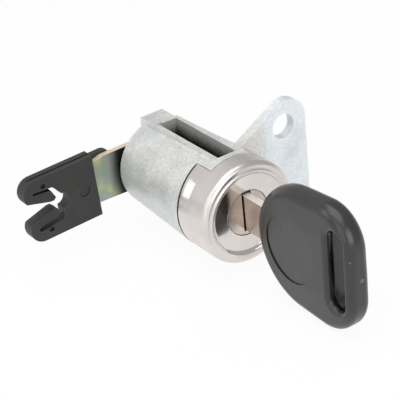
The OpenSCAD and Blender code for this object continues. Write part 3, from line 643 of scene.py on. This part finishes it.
def dressedCopy(node, bevel, smooth=30, flat=0.6):
    # The CAD node's own form, its loose triangles merged and its flat faces joined before the edges are rounded
    source = frame["nodes"][node]
    mesh = source.data.copy()
    mesh.name = node + "Form"
    if mesh.has_custom_normals:
        mesh.attributes.remove(mesh.attributes["custom_normal"])
    shape = bmesh.new()
    shape.from_mesh(mesh)
    bmesh.ops.remove_doubles(shape, verts=shape.verts, dist=0.000002)
    bmesh.ops.dissolve_limit(shape, angle_limit=math.radians(flat), use_dissolve_boundaries=False,
                             verts=shape.verts, edges=shape.edges)
    shape.to_mesh(mesh)
    shape.free()
    piece = bpy.data.objects.new(node + "Form", mesh)
    bpy.context.scene.collection.objects.link(piece)
    mesh.polygons.foreach_set("use_smooth", np.ones(len(mesh.polygons), bool))
    mesh.set_sharp_from_angle(angle=math.radians(smooth))
    return finishPiece(piece, node, bevel)


# Surface tools: whole grids of points at once
def gridPiece(name, points):
    # A closed skin from a grid of points that runs round in both directions
    rows, columns = points.shape[:2]
    index = np.arange(rows * columns).reshape(rows, columns)
    nextRow, nextColumn = np.roll(index, -1, 0), np.roll(index, -1, 1)
    faces = np.stack([index, nextColumn, np.roll(nextColumn, -1, 0), nextRow], -1).reshape(-1, 4)
    mesh = bpy.data.meshes.new(name)
    mesh.from_pydata((points.reshape(-1, 3) * mm).tolist(), [], faces.tolist())
    mesh.polygons.foreach_set("use_smooth", np.ones(len(mesh.polygons), bool))
    piece = bpy.data.objects.new(name, mesh)
    bpy.context.scene.collection.objects.link(piece)
    return piece


def easeStep(x):
    x = np.clip(x, 0, 1)
    return x * x * (3 - 2 * x)


def depthInside(spots, circles, turns):
    # How far points lie inside the hull of some circles: the least, over all directions, of the hull's reach
    # in that direction less the point's own
    normals = np.stack([np.cos(turns), np.sin(turns)], -1)
    reach = np.max([normals @ np.array(c[:2]) + c[2] for c in circles], 0)
    return np.min(reach - spots @ normals.T, -1)


def rayLength(middle, rays, circles, turns):
    # Distance from the middle to the hull's edge along each ray
    normals = np.stack([np.cos(turns), np.sin(turns)], -1)
    reach = np.max([normals @ np.array(c[:2]) + c[2] for c in circles], 0) - normals @ middle
    facing = rays @ normals.T
    return np.min(np.where(facing > 1e-6, reach / np.maximum(facing, 1e-6), 1e9), -1)


# Key head, in mm: circles are (y, z, radius)
keyHead = {
    "outline": [(-31.5, 0, 14.9), (-39.5, 6.3, 9.2), (-39.4, -6.0, 9.3)],
    "ringSlot": [(-43.75, 8.0, 2.4), (-43.75, -6.7, 2.4)],
    # rim: its radius, and what is added to it towards the top
    "half": 3.2, "rim": 2.0, "rimTop": 0.6, "crown": 0.25, "crownWidth": 9.0, "lip": 1.25,
    "groove": 0.9, "grooveFrom": 0.9, "grooveTo": 1.9,
    # recess: centre and radius, depth at its middle, and how much deeper to the front and to the bottom
    "recess": (-28.8, -0.3, 8.1), "recessDeep": 0.22, "recessTilt": (0.020, -0.010),
    "columns": 440, "faceRows": 78, "rimRows": 16, "wallRows": 12,
}


def recessTool(side):
    # A round plug whose inner face lies on a tilted plane, so that the recess fades out towards the ring slot
    k = keyHead
    y, z, radius = k["recess"]
    around = np.linspace(0, 2 * math.pi, 160, endpoint=False)
    off = radius * np.stack([np.cos(around), np.sin(around)], -1)
    depth = k["recessDeep"] + off @ np.array(k["recessTilt"])
    rings = []
    for x in (k["half"] - depth, np.full(len(around), k["half"] + 1.0)):
        rings.append(np.stack([side * x, y + off[:, 0], z + off[:, 1]], -1))
    count = len(around)
    walls = [(i, (i + 1) % count, count + (i + 1) % count, count + i) for i in range(count)]
    faces = walls + [tuple(range(count))[::-1], tuple(range(count, 2 * count))]
    if side < 0:
        faces = [f[::-1] for f in faces]
    mesh = bpy.data.meshes.new("recessTool")
    mesh.from_pydata((np.concatenate(rings) * mm).tolist(), [], faces)
    return bpy.data.objects.new("recessTool", mesh)


def cutAway(piece, tool):
    # Takes the tool out of the piece for good, and keeps the soft and sharp edges apart
    scene = bpy.context.scene.collection
    scene.objects.link(tool)
    cut = piece.modifiers.new("cut", "BOOLEAN")
    cut.operation = "DIFFERENCE"
    cut.object = tool
    bpy.context.view_layer.update()
    result = bpy.data.meshes.new_from_object(piece.evaluated_get(bpy.context.evaluated_depsgraph_get()))
    piece.modifiers.clear()
    piece.data = result
    result.polygons.foreach_set("use_smooth", np.ones(len(result.polygons), bool))
    result.set_sharp_from_angle(angle=math.radians(50))
    bpy.data.objects.remove(tool)


# Cap, in mm: radii and lengths as in the part's source; tabs are the two lanced strips, angles in degrees
cap = {
    "radius": 12.65, "wall": 0.6, "length": 10.7, "shoulder": 1.3, "groove": 0.25, "bead": 0.45, "beadAt": 10.45,
    "dish": 9.95, "dishSlope": 0.45, "dishDeep": 0.8, "hole": 5.65, "columns": 480,
    "tabFrom": 135.5, "tabTo": 155.0, "tabFade": (4.0, 1.2), "tabRoot": 0.9, "tabSlit": 3.3, "tabDeep": 0.50,
    "slitWide": 0.22, "slitDeep": 0.55,
    "notch": ((-5.9, -5.2, 0), (5.9, 1, 14)), "bossGap": ((-4.1, -5.2, -14), (4.1, 1, 0)),
}


def arc(r, y, radius, start, end, count):
    turn = np.radians(np.linspace(start, end, count))
    return [(r + radius * math.cos(t), y + radius * math.sin(t)) for t in turn]


def boxTool(low, high):
    mesh = bpy.data.meshes.new("boxTool")
    shape = bmesh.new()
    bmesh.ops.create_cube(shape, size=1)
    for v in shape.verts:
        v.co = Vector([(a + b) / 2 + (b - a) * c for a, b, c in zip(low, high, v.co)]) * mm
    shape.to_mesh(mesh)
    shape.free()
    return bpy.data.objects.new("boxTool", mesh)


def makeCap():
    # The sheet's section, as (radius, forward length), carried round the axis; r and length run along the outer
    # side from the skirt's rear edge to the hole, and back along the inner side
    c = cap
    flat = c["length"] - c["groove"]
    floor = c["length"] - c["dishDeep"]
    slit = c["tabSlit"]
    outer = [(c["radius"] - 0.08, 0), (c["radius"], 0.08)]
    outer += [(c["radius"], v) for v in np.linspace(0.3, slit - 0.03, 12)]
    outer += [(c["radius"], v) for v in (slit + 0.01, slit + c["slitWide"] - 0.02)]
    outer += [(c["radius"], v) for v in np.linspace(slit + c["slitWide"], flat - c["shoulder"] - 0.1, 8)]
    outer += arc(c["radius"] - c["shoulder"], flat - c["shoulder"], c["shoulder"], 0, 84, 14)
    outer += arc(c["beadAt"], c["length"] - c["bead"], c["bead"], 35, 165, 12)
    foot = c["dish"] - c["dishSlope"]
    outer += [(foot + 0.10, floor + 0.14), (foot, floor + 0.05), (foot - 0.12, floor + 0.01)]
    outer += [(r, floor) for r in np.linspace(foot - 0.4, c["hole"] + 0.2, 8)]
    outer += arc(c["hole"] + 0.12, floor - 0.12, 0.12, 90, 180, 4)
    inside = c["radius"] - c["wall"]
    inner = [(c["hole"], floor - c["wall"]), (inside - 0.7, floor - c["wall"])]
    inner += arc(inside - 0.7, floor - c["wall"] - 0.7, 0.7, 80, 0, 6)
    inner += [(inside, v) for v in np.linspace(slit + 0.6, slit + 0.03, 3)]
    inner += [(inside, v) for v in np.linspace(slit - 0.03, 0, 8)]
    section = np.array(outer + inner)
    turn = np.linspace(0, 2 * math.pi, c["columns"], endpoint=False)
    degrees = np.degrees(np.minimum(turn, 2 * math.pi - turn))
    degrees = np.where(turn > math.pi, 0, degrees)
    degrees = np.maximum(degrees, np.where(turn < math.pi, 180 - degrees, 0))
    # Lanced strips: pressed in most at the slit, not at all at the rear edge
    fadeIn, fadeOut = c["tabFade"]
    across = easeStep((degrees - c["tabFrom"]) / fadeIn + 0.5) * easeStep((c["tabTo"] - degrees) / fadeOut + 0.5)
    along = np.clip((section[:, 1] - c["tabRoot"]) / (slit - c["tabRoot"]), 0, 1)
    along = np.where((section[:, 1] < slit) & (section[:, 0] > c["beadAt"]), along, 0)
    inSlit = (np.abs(section[:, 1] - slit - c["slitWide"] / 2) < c["slitWide"] / 2) & (section[:, 0] > inside + 0.1)
    pressed = c["tabDeep"] * along + np.where(inSlit, c["slitDeep"], 0)
    radius = section[:, 0, None] - pressed[:, None] * across
    forward = np.broadcast_to(section[:, 1, None], radius.shape)
    points = np.stack([radius * np.cos(turn), -forward, radius * np.sin(turn)], -1)
    skin = gridPiece("capSkin", points)
    for low, high in (c["notch"], c["bossGap"]):
        cutAway(skin, boxTool(low, high))
    return finishPiece(skin, "face_cap")


def makeKeyHead():
    k = keyHead
    turns = np.linspace(0, 2 * math.pi, 720, endpoint=False)
    middle = np.mean([c[:2] for c in k["ringSlot"]], 0)
    # Rays shared out so that their ends lie evenly along the outline
    rough = np.linspace(0, 2 * math.pi, 4000)
    ray = np.stack([np.cos(rough), np.sin(rough)], -1)
    ends = ray * rayLength(middle, ray, k["outline"], turns)[:, None]
    walked = np.concatenate([[0], np.cumsum(np.linalg.norm(np.diff(ends, axis=0), axis=1))])
    angles = np.interp(np.arange(k["columns"]) / k["columns"] * walked[-1], walked, rough)
    ray = np.stack([np.cos(angles), np.sin(angles)], -1)
    inner = rayLength(middle, ray, k["ringSlot"], turns)
    outer = rayLength(middle, ray, k["outline"], turns)

    def faceHeight(spots):
        # Half thickness less the rounded rim, the crown and the slot's lip
        edge = depthInside(spots, k["outline"], turns)
        slotGap = -depthInside(spots, k["ringSlot"], turns)
        lip = k["lip"]
        rim = k["rim"] + k["rimTop"] * np.clip(spots[..., 1] / 12, 0, 1)
        height = k["half"] - rim + np.sqrt(np.maximum(rim ** 2 - np.clip(rim - edge, 0, rim) ** 2, 0))
        height -= k["crown"] * (1 - easeStep(edge / k["crownWidth"]))
        height -= lip - np.sqrt(np.maximum(lip ** 2 - np.clip(lip - slotGap, 0, lip) ** 2, 0))
        return height

    # Steps along each ray: finer at the slot's lip and at the rim
    step = np.linspace(0, 1, k["faceRows"])
    step = step + 0.12 * np.sin(2 * math.pi * step) * -1
    step = np.clip(step, 0, 1)
    distance = inner + (outer - inner) * step[:, None]
    face = middle + distance[..., None] * ray
    near = faceHeight(face)
    # Side band between the two rims, and the slot's wall with a groove behind the lip on the -X side only
    side = np.linspace(-1, 1, k["rimRows"] + 2)[1:-1, None] * near[-1]
    wallX = np.linspace(near[0].mean(), -near[0].mean(), k["wallRows"] * 4 + 2)[1:-1]
    inBand = easeStep((-wallX - k["grooveFrom"]) / 0.15) * easeStep((wallX + k["grooveTo"]) / 0.15)
    wallOut = inner + (k["groove"] * inBand)[:, None]
    rows = [
        (-near, face),
        (side, np.broadcast_to(face[-1], (len(side), *face[-1].shape))),
        (near[::-1], face[::-1]),
        (np.broadcast_to(wallX[:, None], wallOut.shape), middle + wallOut[..., None] * ray),
    ]
    x = np.concatenate([np.broadcast_to(r[0], r[1].shape[:2]) for r in rows])
    yz = np.concatenate([r[1] for r in rows])
    points = np.concatenate([x[..., None], yz], -1)
    skin = gridPiece("keyHeadSkin", points)
    for side in (-1, 1):
        cutAway(skin, recessTool(side))
    return finishPiece(skin, "key_head")


makeCamera()
makeStudio()
print("camera and studio set")

# Bevel width in mm for each CAD form that is kept
edgeRounding = {
    "housing": 0.22, "face_cap": 0.08, "plug": 0.1, "key_blade": 0.12, "key_head": 0.0,
    "drive_lever": 0.15, "rod_clip": 0.18, "spring_washer": 0.08, "lever_clip": 0.08, "clip_pin": 0.1,
}
ownForm = {"key_head": makeKeyHead, "face_cap": makeCap, "rod_clip": makeClip}
for node in frame["nodes"]:
    if node in ownForm:
        ownForm[node]()
    else:
        dressedCopy(node, edgeRounding.get(node, 0.0))
print("pieces made")
